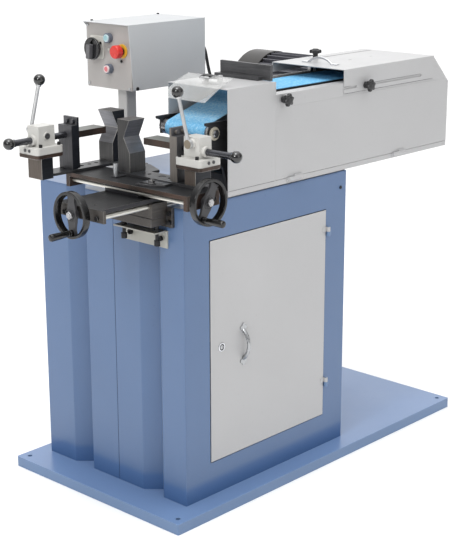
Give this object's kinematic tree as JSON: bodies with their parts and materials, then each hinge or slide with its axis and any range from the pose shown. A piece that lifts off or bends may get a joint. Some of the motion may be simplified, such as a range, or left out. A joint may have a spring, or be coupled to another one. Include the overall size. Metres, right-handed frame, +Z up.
{
  "type": "tube belt grinder",
  "caption": "Floor-standing abrasive belt grinder for notching tube ends: belt head on a steel cabinet, swivelling V-block vise on a cross slide, control box on a post.",
  "frame": {"origin": "centre of the four floor bolt holes, on the floor", "axes": "+Z up, -X towards the operator's end with the vise, -Y the side with the cabinet door"},
  "size_m": [1.5625, 0.8315, 1.3395],
  "materials": {
    "blue_paint": "semi-gloss powder coat",
    "grey_paint": "satin powder coat",
    "panel_paint": "satin powder coat",
    "cream_paint": "satin paint",
    "casting_paint": "satin paint on cast iron",
    "black_steel": "black oxide, ground",
    "bright_steel": "ground",
    "chrome": "polished plate",
    "zinc": "zinc plate",
    "belt": "abrasive cloth",
    "roller_rubber": "ground rubber tyre",
    "wheel_alloy": "turned",
    "motor_grey": "painted dark grey",
    "cowl_grey": "satin paint",
    "rotor_steel": "machined",
    "knob_black": "moulded",
    "clear_sheet": "clear polycarbonate",
    "red_plastic": "moulded",
    "green_plastic": "moulded",
    "white_plastic": "moulded",
    "fitting_plastic": "moulded",
    "lead_rubber": "smooth jacket"
  },
  "bodies": {
    "frame": {"abrasive_belt": "belt", "base_plate": "blue_paint", "cabinet_front": "blue_paint", "cabinet_right_panel": "blue_paint", "cabinet_shell": "blue_paint", "control_cover": "grey_paint", "control_fittings": "fitting_plastic", "control_panel": "panel_paint", "control_post": "grey_paint", "fixed_hinge_halves": "zinc", "frame_screws": "zinc", "front_cover": "grey_paint", "head_main_plate": "grey_paint", "head_tray": "grey_paint", "motor_body": "motor_grey", "motor_cowl": "cowl_grey", "motor_lead": "lead_rubber", "platen": "bright_steel", "rear_hood": "grey_paint", "roller_arms": "bright_steel", "slide_base": "black_steel", "slide_bracket": "cream_paint", "work_stop": "black_steel", "x_guide_block": "black_steel"},
    "cabinet_door": {"cabinet_door": "grey_paint", "door_handle": "chrome"},
    "door_lock": {"door_lock": "chrome"},
    "side_door": {"side_door": "grey_paint"},
    "sliding_cover": {"sliding_cover": "grey_paint", "cover_handle": "chrome"},
    "front_knob": {"front_knob": "knob_black"},
    "rear_knob": {"rear_knob": "knob_black"},
    "top_knob": {"top_knob": "knob_black"},
    "eye_shield": {"eye_shield": "clear_sheet"},
    "main_switch": {"main_switch": "knob_black"},
    "estop_button": {"estop_button": "red_plastic"},
    "start_button": {"start_button": "green_plastic"},
    "stop_button": {"stop_button": "white_plastic"},
    "drive_wheel": {"drive_wheel": "wheel_alloy", "motor_rotor": "rotor_steel"},
    "contact_roller": {"contact_roller": "roller_rubber"},
    "x_table": {"x_table": "black_steel", "x_rods": "chrome", "y_guide_block": "black_steel"},
    "x_handwheel": {"x_handwheel": "knob_black"},
    "x_grip": {"x_grip": "knob_black"},
    "y_table": {"y_table": "black_steel", "y_rods": "chrome"},
    "y_handwheel": {"y_handwheel": "knob_black"},
    "y_grip": {"y_grip": "knob_black"},
    "swivel": {"swivel_plate": "black_steel", "vise_blocks": "black_steel", "clamp_castings": "casting_paint", "vise_bolts": "zinc"},
    "clamp_a": {"clamp_a_rod": "chrome", "clamp_a_jaw": "black_steel"},
    "lever_a": {"lever_a": "chrome"},
    "clamp_b": {"clamp_b_rod": "chrome", "clamp_b_jaw": "black_steel"},
    "lever_b": {"lever_b": "chrome"}
  },
  "joints": [
    {"name": "cabinet_door_hinge", "type": "hinge", "parent": "frame", "child": "cabinet_door", "pos_m": [0.053, -0.293, 0.4], "axis": [0, 0, 1], "range_deg": [0, 115]},
    {"name": "door_lock_turn", "type": "hinge", "parent": "cabinet_door", "child": "door_lock", "pos_m": [-0.412, -0.286, 0.473], "axis": [0, 1, 0], "range_deg": [0, 90]},
    {"name": "side_door_hinge", "type": "hinge", "parent": "frame", "child": "side_door", "pos_m": [0, -0.2935, 0.911], "axis": [1, 0, 0], "range_deg": [0, 110]},
    {"name": "sliding_cover_slide", "type": "slide", "parent": "frame", "child": "sliding_cover", "axis": [1, 0, 0], "range_m": [-0.286, 0]},
    {"name": "front_knob_turn", "type": "hinge", "parent": "frame", "child": "front_knob", "pos_m": [-0.158, -0.291, 1.144], "axis": [0, 1, 0], "range_deg": [0, 180]},
    {"name": "rear_knob_turn", "type": "hinge", "parent": "frame", "child": "rear_knob", "pos_m": [0.221, -0.291, 1.144], "axis": [0, 1, 0], "range_deg": [0, 180]},
    {"name": "top_knob_turn", "type": "hinge", "parent": "frame", "child": "top_knob", "pos_m": [0.277, -0.05, 1.199], "axis": [0, 0, 1], "range_deg": [0, 180]},
    {"name": "eye_shield_hinge", "type": "hinge", "parent": "frame", "child": "eye_shield", "pos_m": [-0.322, -0.176, 1.213], "axis": [0, 1, 0], "range_deg": [0, 95]},
    {"name": "main_switch_turn", "type": "hinge", "parent": "frame", "child": "main_switch", "pos_m": [-0.341, 0.276, 1.2595], "axis": [1, 0, 0], "range_deg": [0, 90]},
    {"name": "estop_press", "type": "slide", "parent": "frame", "child": "estop_button", "axis": [1, 0, 0], "range_m": [0, 0.005]},
    {"name": "start_press", "type": "slide", "parent": "frame", "child": "start_button", "axis": [1, 0, 0], "range_m": [0, 0.003], "stiffness_N_per_m": 800, "springref_m": -0.001},
    {"name": "stop_press", "type": "slide", "parent": "frame", "child": "stop_button", "axis": [1, 0, 0], "range_m": [0, 0.004], "stiffness_N_per_m": 800, "springref_m": -0.001},
    {"name": "drive_wheel_spin", "type": "hinge", "parent": "frame", "child": "drive_wheel", "pos_m": [0.405, -0.1535, 1.0601], "axis": [0, 1, 0], "continuous": true},
    {"name": "contact_roller_spin", "type": "hinge", "parent": "frame", "child": "contact_roller", "pos_m": [-0.393, -0.1535, 1.072], "axis": [0, 1, 0], "continuous": true},
    {"name": "x_slide", "type": "slide", "parent": "frame", "child": "x_table", "axis": [1, 0, 0], "range_m": [-0.06, 0.03]},
    {"name": "x_handwheel_turn", "type": "hinge", "parent": "x_table", "child": "x_handwheel", "pos_m": [-0.82, -0.142, 0.904], "axis": [1, 0, 0], "range_deg": [-4325, 2165]},
    {"name": "x_grip_spin", "type": "hinge", "parent": "x_handwheel", "child": "x_grip", "pos_m": [-0.86, -0.142, 0.856], "axis": [1, 0, 0], "continuous": true},
    {"name": "y_slide", "type": "slide", "parent": "x_table", "child": "y_table", "axis": [0, 1, 0], "range_m": [-0.035, 0.035]},
    {"name": "y_handwheel_turn", "type": "hinge", "parent": "y_table", "child": "y_handwheel", "pos_m": [-0.585, -0.405, 0.938], "axis": [0, 1, 0], "range_deg": [-2525, 2525]},
    {"name": "y_grip_spin", "type": "hinge", "parent": "y_handwheel", "child": "y_grip", "pos_m": [-0.60754, -0.44, 0.89562], "axis": [0, 1, 0], "continuous": true},
    {"name": "swivel_turn", "type": "hinge", "parent": "y_table", "child": "swivel", "pos_m": [-0.538, -0.19, 0.964], "axis": [0, 0, 1], "range_deg": [-15, 20]},
    {"name": "clamp_a_slide", "type": "slide", "parent": "swivel", "child": "clamp_a", "axis": [1, 0, 0], "range_m": [-0.0002, 0.0302]},
    {"name": "lever_a_turn", "type": "hinge", "parent": "swivel", "child": "lever_a", "pos_m": [-0.73, 0.1217, 1.085], "axis": [0, -1, 0], "range_deg": [0, 95.4]},
    {"name": "clamp_b_slide", "type": "slide", "parent": "swivel", "child": "clamp_b", "axis": [0, 1, 0], "range_m": [-0.0002, 0.0302]},
    {"name": "lever_b_turn", "type": "hinge", "parent": "swivel", "child": "lever_b", "pos_m": [-0.5747, -0.327, 1.0785], "axis": [1, 0, 0], "range_deg": [0, 95.4]}
  ],
  "couplings": [
    {"joint": "contact_roller_spin", "follows": "drive_wheel_spin", "ratio": 4.7619},
    {"joint": "x_handwheel_turn", "follows": "x_slide", "rad_per_m": 1256.6},
    {"joint": "y_handwheel_turn", "follows": "y_slide", "rad_per_m": 1256.6},
    {"joint": "clamp_a_slide", "follows": "lever_a_turn", "m_per_rad": 0.018},
    {"joint": "clamp_b_slide", "follows": "lever_b_turn", "m_per_rad": 0.018}
  ]
}
